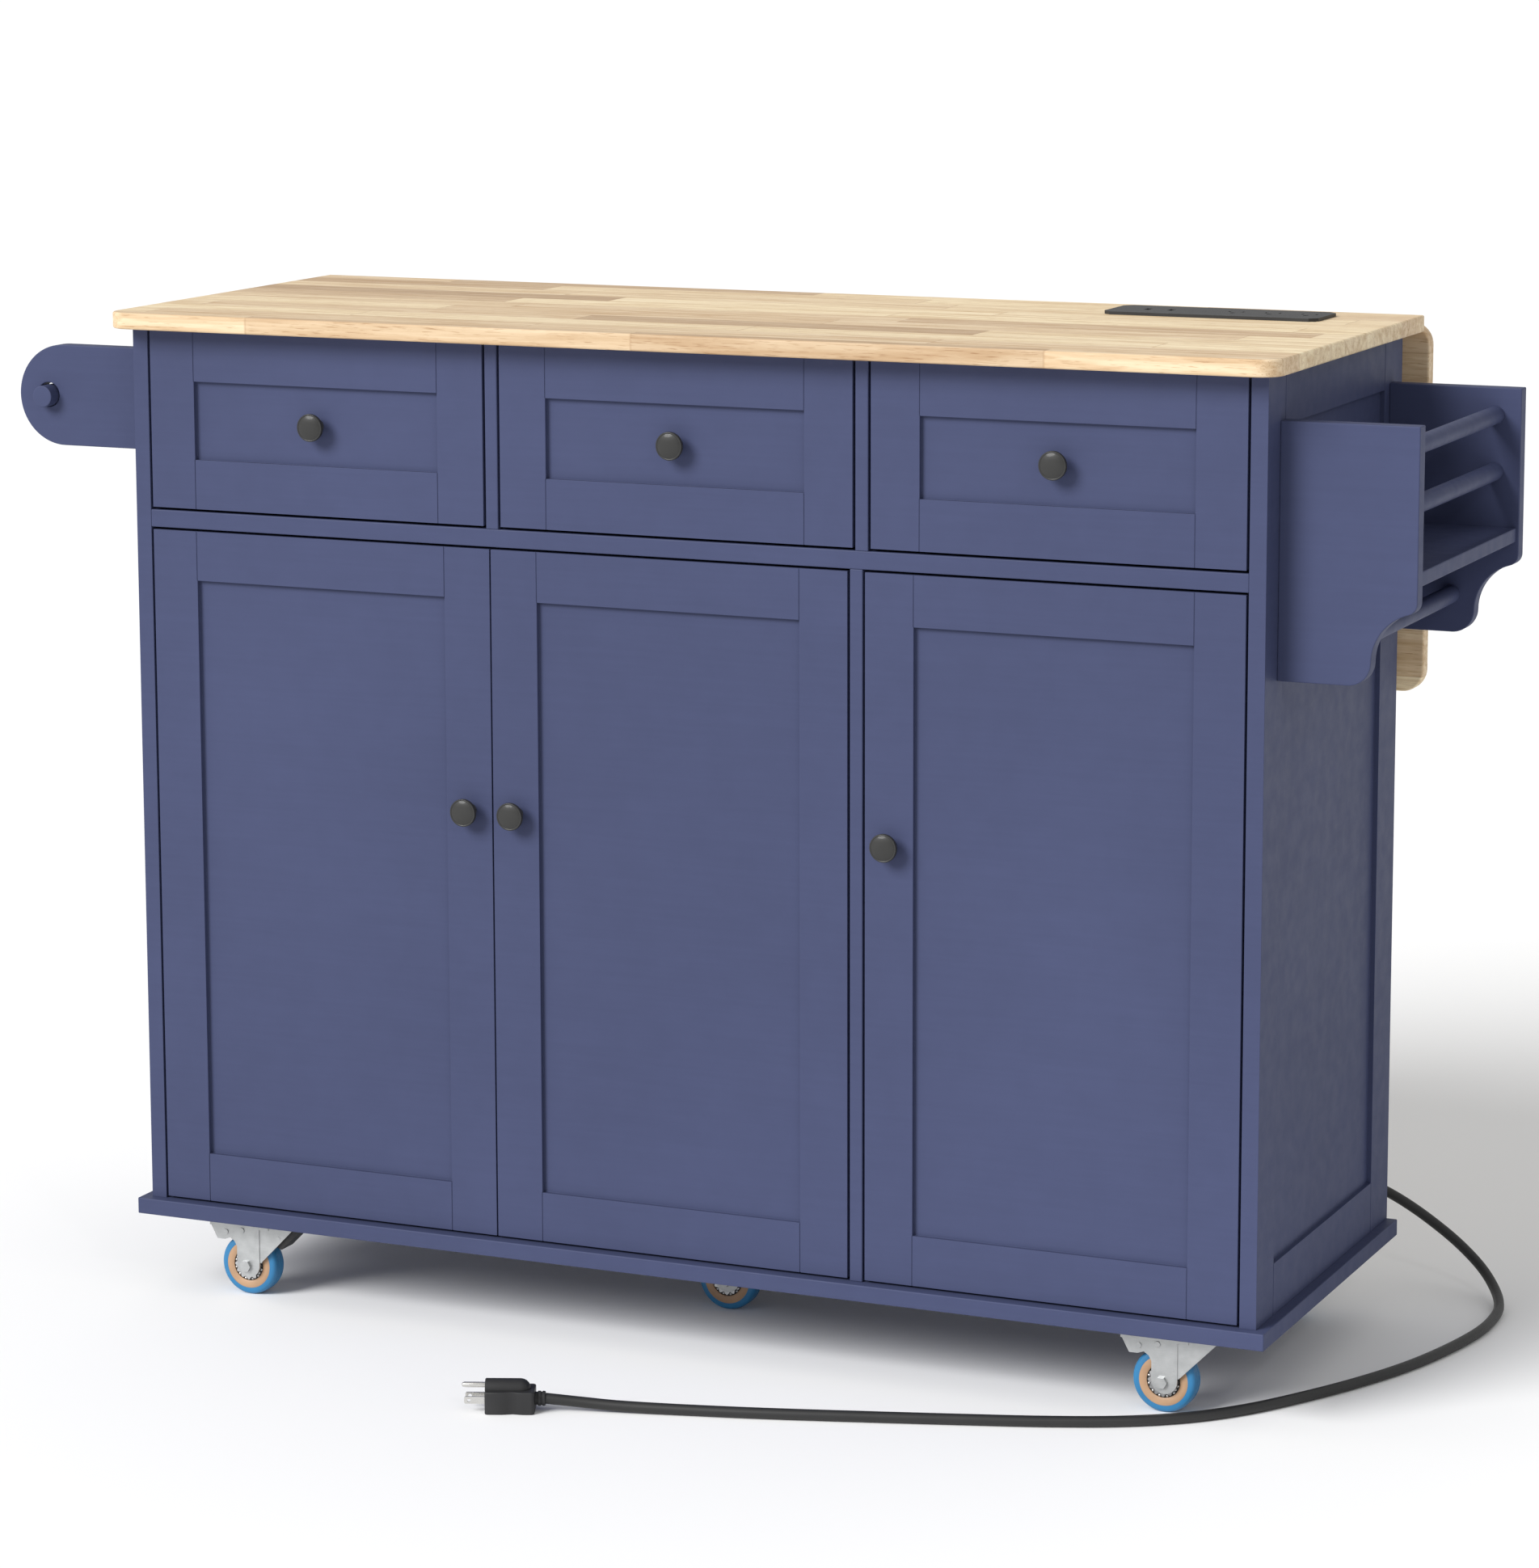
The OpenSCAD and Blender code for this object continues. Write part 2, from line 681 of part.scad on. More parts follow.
// Wheel centres at rest; each swivel axis lies one trail length to the left
wheel_at = [
    [-wheel_x, wheel_in], [wheel_x, wheel_in], centre_wheel,
    [-wheel_x, rear_y + wheel_w / 2], [wheel_x, rear_y + wheel_w / 2]
];
function swivel_at(i) = [wheel_at[i].x - trail, wheel_at[i].y, 0];

module caster_plates() color(zinc) place() {
    for (i = [0:4]) translate(swivel_at(i)) {
        difference() {
            translate([-plate_l / 2, -plate_w / 2, caster_h - caster_plate_t])
                linear_extrude(caster_plate_t) round_rect([plate_l, plate_w], 5, 5);
            for (x = [-screw_x, screw_x], y = [-screw_y, screw_y]) {
                translate([x, y, caster_h - 5]) cylinder(d = 5.5, h = 10);
            }
        }
        translate([0, 0, web_top + 0.3]) cylinder(r = race_r, h = race_h + eps);
        translate([0, 0, web_low - 3]) cylinder(r = kingpin_r, h = web_t + 4);
        translate([0, 0, web_low - 0.3 - 2.6]) cylinder(r = 8, h = 2.6);
    }
}

module caster_screws() color(zinc) place() {
    for (i = [0:4], x = [-screw_x, screw_x], y = [-screw_y, screw_y]) {
        translate(swivel_at(i) + [x, y, caster_h - caster_plate_t - 2]) {
            cylinder(r1 = 3.6, r2 = 4.6, h = 2);
            cylinder(d = 4, h = 2 + caster_plate_t);
        }
    }
}

// Cheek of a fork in the XZ plane, x counted from the swivel axis
leg_x = trail - 9.5;      // the leg's leading edge
leg_w = 23.6;
tab_x = trail - 38;       // leading end of the rivet tab
gusset_x = trail + 48;    // trailing end of the gusset
leg_low = 30;             // centre of the leg's rounded foot
brake_pivot = [trail + 34, web_top - 9.2];
brake_pin_r = 2;

module cheek_outline() {
    foot_radius = leg_w / 2;
    translate([leg_x + foot_radius, leg_low]) circle(foot_radius);
    translate([leg_x, leg_low]) square([leg_w, web_top - leg_low]);
    translate([0, web_top]) polygon([
        [tab_x, 0], [tab_x + 8, -15.2], [tab_x + 16, -15.2], [leg_x - 7, -13.2],
        [leg_x - 2.5, -16.2], [leg_x + eps, -21.2], [leg_x + eps, 0]
    ]);
}

module gusset_outline() {
    x0 = leg_x + leg_w - 2;
    polygon([[x0, 31], [leg_x + leg_w + 2, 33.5], [gusset_x, web_top - 1], [gusset_x, web_top], [x0, web_top]]);
}

module upright(y, thick) translate([0, y, 0]) rotate([90, 0, 0]) linear_extrude(thick) children();

module fork_shape(brake) {
    difference() {
        union() {
            upright(-cheek_in, cheek_t) cheek_outline();
            upright(-cheek_in + 0.8, cheek_t) gusset_outline();
            upright(cheek_in + cheek_t, cheek_t) cheek_outline();
            upright(cheek_in + cheek_t - 0.8, cheek_t) gusset_outline();
            board([tab_x, -cheek_in - cheek_t, web_low], [trail + 24, cheek_in + cheek_t, web_top]);
        }
        translate([0, 0, web_low - 1]) cylinder(r = kingpin_r + 0.08, h = web_t + 2);
    }
    // rivets on the cheeks
    for (spot = [[tab_x + 17, web_top - 7.9], [tab_x + 34, web_top - 5.2]], side = [-1, 1]) {
        translate([spot.x, side * (cheek_in + cheek_t + 0.5), spot.y]) rotate([90, 0, 0])
            cylinder(r = 2.6, h = 1.1, center = true);
    }
    // axle bolt with its head and nut
    translate([trail, cheek_in + cheek_t + 3, wheel_r]) rotate([90, 0, 0]) {
        cylinder(r = axle_r, h = 2 * (cheek_in + cheek_t) + 6);
    }
    for (side = [-1, 1]) {
        translate([trail, side * (cheek_in + cheek_t + 1.5), wheel_r]) rotate([90, 0, 0])
            cylinder(r = 5.6, h = 3, center = true, $fn = 6);
    }
    if (brake) {
        translate([brake_pivot.x, 0, brake_pivot.y]) rotate([90, 0, 0])
            cylinder(r = brake_pin_r, h = 2 * cheek_in + 3, center = true);
    }
}

module caster_fork(i, brake) color(zinc) place() translate(swivel_at(i)) fork_shape(brake);

core_r = 22.2;

// Tyre and core as two rings on one axis, bored for the axle
module caster_wheel(i) color([0.20, 0.50, 0.72]) place() {
    translate(swivel_at(i) + [trail, wheel_w / 2, wheel_r]) rotate([90, 0, 0]) {
        rotate_extrude($fn = 96) polygon([
            [core_r + slit, 0.6], [wheel_r - 3.5, 0.6], [wheel_r - 1, 2.2], [wheel_r, 5],
            [wheel_r, wheel_w - 5], [wheel_r - 1, wheel_w - 2.2], [wheel_r - 3.5, wheel_w - 0.6],
            [core_r + slit, wheel_w - 0.6]
        ]);
        difference() {
            union() {
                translate([0, 0, 0.5]) cylinder(r = core_r, h = wheel_w - 1);
                translate([0, 0, -0.6]) cylinder(r = 14.5, h = wheel_w + 1.2);
            }
            translate([0, 0, -2]) cylinder(r = axle_r + 0.08, h = wheel_w + 4);
        }
    }
}

module brake_lever(i) color(black) place() translate(swivel_at(i)) {
    w = 2 * cheek_in - 3;
    difference() {
        translate([trail, w / 2, web_top]) rotate([90, 0, 0]) linear_extrude(w) polygon([
            [29, -17.2], [36, -20.2], [52, -4.2], [63, 1.8], [64, 5.8], [57, 5.8], [42, -0.2], [29, -5.2]
        ]);
        translate([brake_pivot.x, 0, brake_pivot.y]) rotate([90, 0, 0])
            cylinder(r = brake_pin_r + 0.08, h = 2 * w, center = true);
    }
}

// ---------------------------------------------------------------- cord, gland and plug
cord_r = cord_d / 2;
gland_l = 30;             // tapered sleeve outside the back panel

module cord_gland() color(black) place() {
    translate([gland_x, back_in - gland_lip, gland_z]) rotate([-90, 0, 0]) {
        cylinder(r = gland_r + 3, h = gland_lip - slit);
        cylinder(r = gland_r - slit, h = back_t + gland_lip + slit);
        translate([0, 0, back_t + gland_lip + slit]) cylinder(r = gland_r + 3, h = gland_lip);
        translate([0, 0, back_t + 2 * gland_lip]) cylinder(r1 = 8.5, r2 = cord_r + 1, h = gland_l - gland_lip);
    }
}

// The cord's route, counted from the middle of the cabinet's front, on the floor
plug_turn = 202;          // direction in which the blades point
route = [
    [445, 411, 108], [445, 430, 108], [449, 449, 107], [459, 466, 104], [475, 478, 98],
    [497, 484, 90], [522, 485, 79], [550, 483, 64], [580, 477, 46], [606, 466, 28],
    [625, 446, 14], [636, 420, 7], [640, 388, 5], [639, 340, 5], [628, 280, 5],
    [609, 215, 5], [581, 150, 5], [548, 90, 5], [516, 42, 5], [478, 2, 5],
    [430, -30, 5], [370, -56, 5], [300, -80, 5], [220, -106, 5], [140, -131, 5],
    [70, -150, 5], [20, -164, 6], [-11, -173, 8], [-41, -184, 11]
];
steps = 2;
cord_sides = 10;

// Smooth curve through the route: point at share t between route points i and i + 1
function at(i) = route[max(0, min(len(route) - 1, i))];
function curve(i, t) = 0.5 * (2 * at(i) + (at(i + 1) - at(i - 1)) * t
    + (2 * at(i - 1) - 5 * at(i) + 4 * at(i + 1) - at(i + 2)) * t * t
    + (3 * at(i) - at(i - 1) - 3 * at(i + 1) + at(i + 2)) * t * t * t);
cord_line = concat(
    [for (i = [0:len(route) - 2], s = [0:steps - 1]) curve(i, s / steps)],
    [route[len(route) - 1]]
);
function unit(v) = v / norm(v);
function cord_dir(k) = unit(cord_line[min(k + 1, len(cord_line) - 1)] - cord_line[max(k - 1, 0)]);

module power_cord() color(black) place() {
    count = len(cord_line);
    points = [for (k = [0:count - 1]) let (
            side = unit(cross(cord_dir(k), [0, 0, 1])),
            rise = cross(side, cord_dir(k))
        ) for (j = [0:cord_sides - 1]) let (a = 360 * j / cord_sides - 90)
            cord_line[k] + cord_r * (cos(a) * side + sin(a) * rise)];
    faces = concat(
        [for (k = [0:count - 2], j = [0:cord_sides - 1]) let (
            a = k * cord_sides + j, b = k * cord_sides + (j + 1) % cord_sides
        ) [a, b, b + cord_sides, a + cord_sides]],
        [[for (j = [cord_sides - 1:-1:0]) j]],
        [[for (j = [0:cord_sides - 1]) (count - 1) * cord_sides + j]]
    );
    polyhedron(points, faces, convexity = 10);
}

blade_l = 18;
blade_h = 6.3;
blade_t = 1.5;
ground_r = 2.4;
ground_l = 20.5;
ground_rise = 11.9;       // ground pin over the line of the blades
plug_l = 43;
plug_w = 28;
plug_h = 20;              // height of the plug's block, which lies on the floor
waist = 1.6;              // how far the grip narrows at each side
hood_r = 8.5;             // rounded hood around the ground pin
hood_l = 31;
neck_l = 9;
neck_r = 6.5;

module cylinder_x(r, h) rotate([0, 90, 0]) cylinder(r = r, h = h);

module at_plug() translate(route[len(route) - 1]) rotate([0, 0, plug_turn]) children();

module plug_body() color(black) place() at_plug() {
    cylinder_x(neck_r, neck_l - slit);
    translate([neck_l, 0, -route[len(route) - 1].z]) {
        linear_extrude(plug_h) polygon([
            [0, -plug_w / 2 + 2], [2, -plug_w / 2], [10, -plug_w / 2], [20, -plug_w / 2 + waist],
            [28, -plug_w / 2], [plug_l, -plug_w / 2], [plug_l, plug_w / 2], [28, plug_w / 2],
            [20, plug_w / 2 - waist], [10, plug_w / 2], [2, plug_w / 2], [0, plug_w / 2 - 2]
        ]);
        translate([plug_l - hood_l, 0, plug_h]) {
            cylinder_x(hood_r, hood_l);
            sphere(hood_r);
        }
    }
}

module plug_blades() color([0.78, 0.76, 0.70]) place() at_plug() {
    translate([neck_l + plug_l, 0, 0]) {
        for (side = [-1, 1]) {
            y0 = side * slot_gap / 2;
            board([0, y0 - blade_t / 2, -blade_h / 2], [blade_l, y0 + blade_t / 2, blade_h / 2]);
        }
        translate([0, 0, ground_rise]) cylinder_x(ground_r, ground_l);
    }
}

worktop();
base_board();
left_side();
right_side();
back_panel();
middle_shelf();
drawer_dividers();
door_divider();
adjustable_shelves();
shelf_pins();
fixed_runners();
hinge_plates();
holder_plates();
rack_ends();
rack_shelf();
rack_rails();
towel_bar();
power_strip();
leaf_brackets();
cord_gland();
caster_plates();
caster_screws();
caster_fork(0, true);  // caster_fork_front_left
caster_fork(1, false);  // caster_fork_front_right
caster_fork(2, false);  // caster_fork_centre
caster_fork(3, false);  // caster_fork_rear_left
caster_fork(4, true);  // caster_fork_rear_right
caster_wheel(0);  // caster_wheel_front_left
caster_wheel(1);  // caster_wheel_front_right
caster_wheel(2);  // caster_wheel_centre
caster_wheel(3);  // caster_wheel_rear_left
caster_wheel(4);  // caster_wheel_rear_right
brake_lever(0);  // brake_lever_front_left
brake_lever(4);  // brake_lever_rear_right
drawer_front(0);  // drawer_front_left
drawer_front(1);  // drawer_front_centre
drawer_front(2);  // drawer_front_right
drawer_box(0);  // drawer_box_left
drawer_box(1);  // drawer_box_centre
drawer_box(2);  // drawer_box_right
drawer_knob(0);  // drawer_knob_left
drawer_knob(1);  // drawer_knob_centre
drawer_knob(2);  // drawer_knob_right
door(0);  // door_left
door(1);  // door_centre
door(2);  // door_right
door_hinges(0);  // door_hinges_left
door_hinges(1);  // door_hinges_centre
door_hinges(2);  // door_hinges_right
door_knob(0);  // door_knob_left
door_knob(1);  // door_knob_centre
door_knob(2);  // door_knob_right
drop_leaf();
leaf_straps();
leaf_brace(brace_x[0]);  // leaf_brace_left
leaf_brace(brace_x[1]);  // leaf_brace_right
towel_rod();
power_cord();
plug_body();
plug_blades();
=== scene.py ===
"""Rolling kitchen island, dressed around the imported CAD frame. Metres, +Z up, front towards -Y."""
import json
import math

import bmesh
import bpy
from mathutils import Matrix, Vector

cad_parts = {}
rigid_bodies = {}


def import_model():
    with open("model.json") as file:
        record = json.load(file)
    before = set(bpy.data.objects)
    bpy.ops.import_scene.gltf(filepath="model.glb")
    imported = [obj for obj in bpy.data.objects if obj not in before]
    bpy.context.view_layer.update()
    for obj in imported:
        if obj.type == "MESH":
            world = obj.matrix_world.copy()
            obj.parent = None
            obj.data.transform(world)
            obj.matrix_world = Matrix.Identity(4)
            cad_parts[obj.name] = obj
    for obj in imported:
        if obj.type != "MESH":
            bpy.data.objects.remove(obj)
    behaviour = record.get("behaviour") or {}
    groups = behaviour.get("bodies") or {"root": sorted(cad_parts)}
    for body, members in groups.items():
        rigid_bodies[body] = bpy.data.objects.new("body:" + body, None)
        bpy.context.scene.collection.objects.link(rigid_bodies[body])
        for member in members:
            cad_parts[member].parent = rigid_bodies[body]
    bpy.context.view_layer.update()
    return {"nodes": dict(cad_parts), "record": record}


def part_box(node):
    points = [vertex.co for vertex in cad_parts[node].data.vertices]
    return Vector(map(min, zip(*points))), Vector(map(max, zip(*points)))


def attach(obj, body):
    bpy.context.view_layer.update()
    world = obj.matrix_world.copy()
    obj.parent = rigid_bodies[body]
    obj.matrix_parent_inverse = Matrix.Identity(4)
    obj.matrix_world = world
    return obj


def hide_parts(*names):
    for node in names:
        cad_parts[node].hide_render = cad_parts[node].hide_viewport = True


for old in list(bpy.data.objects):
    bpy.data.objects.remove(old)

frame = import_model()
NODES = frame["nodes"]
MM = 0.001


# ---------------------------------------------------------------- camera and cord
def mid(node):
    low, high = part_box(node)
    return (low + high) / 2


FRONT_MIDDLE = Vector((mid("base_board").x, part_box("right_side")[0].y, 0))

camera_data = bpy.data.cameras.new("camera")
camera_data.sensor_width = 36
camera_data.lens = 114.9
camera_data.shift_y = -0.08   # part of the photograph's vertical shift; the pitch takes the rest
camera_data.clip_end = 200
camera = bpy.data.objects.new("camera", camera_data)
camera.location = (1.8224, -4.1132, 1.3405)
camera.rotation_euler = [math.radians(a) for a in (80.669, 0.141, 23.730)]
bpy.context.scene.collection.objects.link(camera)
bpy.context.scene.camera = camera

# the cord's centre line in mm from the cabinet's front middle on the floor, gland to plug
CORD_D = 9.5 * MM
ROUTE_MM = [
    (445, 411, 108), (445, 430, 108), (449, 449, 107), (459, 466, 104), (475, 478, 98),
    (497, 484, 90), (522, 485, 79), (550, 483, 64), (580, 477, 46), (606, 466, 28),
    (625, 446, 14), (636, 420, 7), (640, 388, 5), (639, 340, 5), (628, 280, 5),
    (609, 215, 5), (581, 150, 5), (548, 90, 5), (516, 42, 5), (478, 2, 5),
    (430, -30, 5), (370, -56, 5), (300, -80, 5), (220, -106, 5), (140, -131, 5),
    (70, -150, 5), (20, -164, 6), (-11, -173, 8), (-41, -184, 11),
]
ROUTE = [FRONT_MIDDLE + Vector(p) * MM for p in ROUTE_MM]
PLUG_TURN = math.radians(202)


# ---------------------------------------------------------------- materials
def sock(tree, node_, name, value):
    """Sets an input, or links it when the value is an output socket."""
    target = node_.inputs[name]
    if isinstance(value, bpy.types.NodeSocket):
        tree.links.new(value, target)
    else:
        target.default_value = value


class Mat:
    """A material under construction, with a Principled shader to plug things into."""

    def __init__(self, name, **shader):
        self.mat = bpy.data.materials.new(name)
        self.mat.use_nodes = True
        self.tree = self.mat.node_tree
        self.shader = self.tree.nodes["Principled BSDF"]
        self.coord = self.tree.nodes.new("ShaderNodeTexCoord").outputs["Object"]
        for key, value in shader.items():
            sock(self.tree, self.shader, key.replace("_", " "), value)

    def node(self, kind, props=None, **inputs):
        made = self.tree.nodes.new("ShaderNode" + kind)
        for key, value in (props or {}).items():
            setattr(made, key, value)
        for key, value in inputs.items():
            index = int(key[1:]) if key[0] == "i" and key[1:].isdigit() else key.replace("_", " ")
            sock(self.tree, made, index, value)
        return made

    def math(self, operation, a, b=0.0, c=0.0):
        return self.node("Math", {"operation": operation}, i0=a, i1=b, i2=c).outputs[0]

    def split(self):
        return self.node("SeparateXYZ", Vector=self.coord).outputs

    def join(self, x=0.0, y=0.0, z=0.0):
        return self.node("CombineXYZ", X=x, Y=y, Z=z).outputs[0]

    def stretch(self, x, y, z, vector=None, shift=None):
        """The object coordinates, or a vector, times (x, y, z), moved by a shift if one is given."""
        out = self.node("VectorMath", {"operation": "MULTIPLY"}, i0=vector or self.coord, i1=(x, y, z))
        out = out.outputs[0]
        if shift is not None:
            out = self.node("VectorMath", {"operation": "ADD"}, i0=out, i1=shift).outputs[0]
        return out

    def noise(self, vector, scale=1.0, detail=3.0, rough=0.55, distortion=0.0):
        return self.node("TexNoise", Vector=vector, Scale=scale, Detail=detail, Roughness=rough,
                         Distortion=distortion).outputs[0]

    def ramp(self, value, stops, smooth=False):
        made = self.node("ValToRGB", Fac=value)
        made.color_ramp.interpolation = "EASE" if smooth else "LINEAR"
        points = made.color_ramp.elements
        while len(points) < len(stops):
            points.new(0.5)
        for point, (place, colour) in zip(points, stops):
            point.position = place
            colour = (colour,) * 3 if isinstance(colour, float) else colour
            point.color = (*colour, 1)
        return made.outputs[0]

    def mix(self, fac, a, b, kind="MIX"):
        made = self.tree.nodes.new("ShaderNodeMix")
        made.data_type, made.blend_type = "RGBA", kind
        for index, value in ((0, fac), (6, a), (7, b)):
            if isinstance(value, bpy.types.NodeSocket):
                self.tree.links.new(value, made.inputs[index])
            else:
                made.inputs[index].default_value = value if index == 0 else (*value, 1)
        return made.outputs[2]

    def bump(self, height, strength, depth):
        made = self.node("Bump", Height=height, Strength=strength, Distance=depth)
        sock(self.tree, self.shader, "Normal", made.outputs[0])

    def set(self, key, value):
        sock(self.tree, self.shader, key, value)


def scaled(colour, factor):
    return tuple(c * factor for c in colour)


def paint():
    """Satin slate-blue paint: roller stipple, faint grain of the board below, slow tone drift."""
    blue = (0.0540, 0.0640, 0.1290)
    m = Mat("slate_blue_paint", IOR=1.45, Specular_IOR_Level=0.13)
    drift = m.noise(m.coord, 2.3, 2.0)
    mottle = m.noise(m.coord, 38, 4.0, 0.6)
    fibre = m.noise(m.stretch(9, 9, 260), 1.0, 4.0, 0.6)
    tone = m.ramp(drift, [(0.3, scaled(blue, 0.95)), (0.7, scaled(blue, 1.05))], True)
    tone = m.mix(0.5, tone, m.ramp(mottle, [(0.35, 0.93), (0.65, 1.0)]), "MULTIPLY")
    tone = m.mix(0.3, tone, m.ramp(fibre, [(0.35, 0.88), (0.65, 1.0)]), "MULTIPLY")
    m.set("Base Color", tone)
    m.set("Roughness", m.ramp(m.noise(m.coord, 60, 3.0), [(0.3, 0.46), (0.7, 0.56)]))
    stipple = m.noise(m.coord, 480, 3.0, 0.6)
    m.bump(m.math("ADD", stipple, m.math("MULTIPLY", fibre, 0.35)), 0.16, 0.00025)
    return m.mat


def timber(name, across, stave, length, light, mid_tone, dark, gloss=0.48, figure=1.0):
    """Staves laid along X, glued side by side along one axis, each with its own tone and figure."""
    m = Mat(name, Specular_IOR_Level=0.22)
    x, y, z = m.split()
    side = y if across == "Y" else z
    lane = m.math("DIVIDE", side, stave)
    row = m.math("FLOOR", lane)
    luck = m.node("TexWhiteNoise", {"noise_dimensions": "1D"}, W=row).outputs[0]
    run = m.math("DIVIDE", m.math("ADD", x, m.math("MULTIPLY", luck, 3.7)), length)
    part = m.math("FLOOR", run)
    pick = m.node("TexWhiteNoise", {"noise_dimensions": "2D"}, Vector=m.join(row, part))
    tone_id, shift = pick.outputs[0], pick.outputs[1]
    far = m.stretch(40, 40, 40, shift)
    grain = m.noise(m.stretch(5.5, 130, 130, shift=far), 1.0, 6.0, 0.66, 0.3)
    figure_at = m.noise(m.stretch(1.5, 22, 22, shift=far), 1.0, 3.0, 0.5, 1.1)
    rings = m.math("SINE", m.math("MULTIPLY", figure_at, 42.0))
    pores = m.noise(m.stretch(60, 1100, 1100, shift=far), 1.0, 2.0, 0.5)
    tone = m.ramp(tone_id, [(0.0, light), (0.35, mid_tone), (0.6, light), (0.85, mid_tone), (1.0, dark)])
    tone = m.mix(0.75 * figure, tone, m.ramp(grain, [(0.30, (0.66, 0.53, 0.40)), (0.60, (1.0, 1.0, 1.0))]),
                 "MULTIPLY")
    tone = m.mix(0.34 * figure, tone, m.ramp(rings, [(0.1, (1.0, 1.0, 1.0)), (0.95, (0.70, 0.56, 0.42))]),
                 "MULTIPLY")
    tone = m.mix(0.6 * figure, tone, m.ramp(pores, [(0.31, (0.50, 0.35, 0.22)), (0.41, (1.0, 1.0, 1.0))]),
                 "MULTIPLY")
    edge = m.math("ABSOLUTE", m.math("SUBTRACT", m.math("FRACT", lane), 0.5))
    butt = m.math("ABSOLUTE", m.math("SUBTRACT", m.math("FRACT", run), 0.5))
    seam = m.math("MAXIMUM", m.ramp(edge, [(0.484, 0.0), (0.496, 1.0)]),
                  m.ramp(butt, [(0.4982, 0.0), (0.4996, 1.0)]))
    tone = m.mix(m.math("MULTIPLY", seam, 0.45), tone, (0.36, 0.22, 0.12))
    m.set("Base Color", tone)
    m.set("Roughness", m.ramp(grain, [(0.3, gloss + 0.12), (0.7, gloss)]))
    m.bump(m.math("SUBTRACT", m.math("ADD", grain, pores), seam), 0.22, 0.00025)
    return m.mat


def board_material():
    m = Mat("inside_board")
    speck = m.noise(m.coord, 260, 4.0, 0.6)
    m.set("Base Color", m.ramp(speck, [(0.35, (0.60, 0.57, 0.52)), (0.65, (0.68, 0.65, 0.60))]))
    m.set("Roughness", m.ramp(speck, [(0.3, 0.5), (0.7, 0.62)]))
    m.bump(speck, 0.12, 0.0002)
    return m.mat


def zinc():
    m = Mat("zinc_plate", Metallic=0.75)
    cloud = m.noise(m.coord, 90, 3.0)
    brush = m.noise(m.stretch(120, 120, 2600), 1.0, 3.0, 0.6)
    m.set("Base Color", m.mix(0.4, m.ramp(cloud, [(0.3, (0.43, 0.44, 0.44)), (0.7, (0.52, 0.53, 0.53))]),
                              m.ramp(brush, [(0.3, 0.8), (0.7, 1.0)]), "MULTIPLY"))
    m.set("Roughness", m.ramp(cloud, [(0.3, 0.36), (0.7, 0.5)]))
    m.bump(brush, 0.10, 0.00012)
    return m.mat


def speckled(name, colour, rough, scale=900, depth=0.00012, strength=0.15, spread=0.12, **shader):
    """A moulded or coated surface: fine grain, small drift in tone and gloss."""
    m = Mat(name, **shader)
    fine = m.noise(m.coord, scale, 3.0, 0.6)
    wide = m.noise(m.coord, scale / 25, 2.0)
    m.set("Base Color", m.ramp(wide, [(0.3, scaled(colour, 1 - spread)), (0.7, scaled(colour, 1 + spread))]))
    m.set("Roughness", m.ramp(fine, [(0.3, max(rough - 0.06, 0.05)), (0.7, rough + 0.06)]))
    m.bump(fine, strength, depth)
    return m.mat


PAINT = paint()
OAK = (0.85, 0.725, 0.500), (0.70, 0.550, 0.370), (0.52, 0.385, 0.250)
PALE_WOOD = (0.66, 0.52, 0.34), (0.62, 0.47, 0.30), (0.57, 0.42, 0.26)
STAVE, STAVE_LENGTH = 42 * MM, 380 * MM
TOP_WOOD = timber("butcher_block_top", "Y", STAVE, STAVE_LENGTH, *OAK)
LEAF_WOOD = timber("butcher_block_leaf", "Z", STAVE, STAVE_LENGTH, *OAK)
DRAWER_WOOD = timber("drawer_wood", "Z", 200 * MM, 1900 * MM, *PALE_WOOD, gloss=0.5)
BOARD = board_material()
ZINC = zinc()
KNOB = speckled("charcoal_knob", (0.030, 0.030, 0.029), 0.42, 700, 0.0001, 0.08, 0.08,
                Specular_IOR_Level=0.2, Coat_Weight=0.15, Coat_Roughness=0.1)
BLACK = speckled("black_plastic", (0.022, 0.022, 0.023), 0.48, Specular_IOR_Level=0.35)
SOFT_BLACK = speckled("cord_jacket", (0.017, 0.017, 0.017), 0.48, 500, 0.00015)
BLUE_TYRE = speckled("blue_tyre", (0.020, 0.165, 0.350), 0.45, 600, 0.00015, 0.15, 0.1)
TAN_CORE = speckled("tan_core", (0.40, 0.245, 0.142), 0.5, 800)
DARK_RING = speckled("dark_ring", (0.015, 0.015, 0.015), 0.5)
BRIGHT = speckled("bright_metal", (0.60, 0.60, 0.60), 0.3, 1200, 0.0001, 0.06, 0.06, Metallic=1.0)
BLADE = speckled("plated_blade", (0.66, 0.65, 0.62), 0.28, 1500, 0.0001, 0.06, 0.06, Metallic=1.0)
PORT = speckled("port_tongue", (0.55, 0.56, 0.58), 0.4)

SLOT_MATERIALS = {
    "blue_paint": PAINT, "butcher_block": TOP_WOOD, "drawer_wood": DRAWER_WOOD, "inside_board": BOARD,
    "dark_knob": KNOB, "plated_steel": ZINC, "wheel_tyre": BLUE_TYRE, "black_plastic": BLACK,
    "cord_rubber": SOFT_BLACK, "blade_metal": BLADE,
}
EDGE_MM = {"blue_paint": 0.9, "butcher_block": 1.8, "inside_board": 0.5, "black_plastic": 0.6,
           "plated_steel": 0.25}


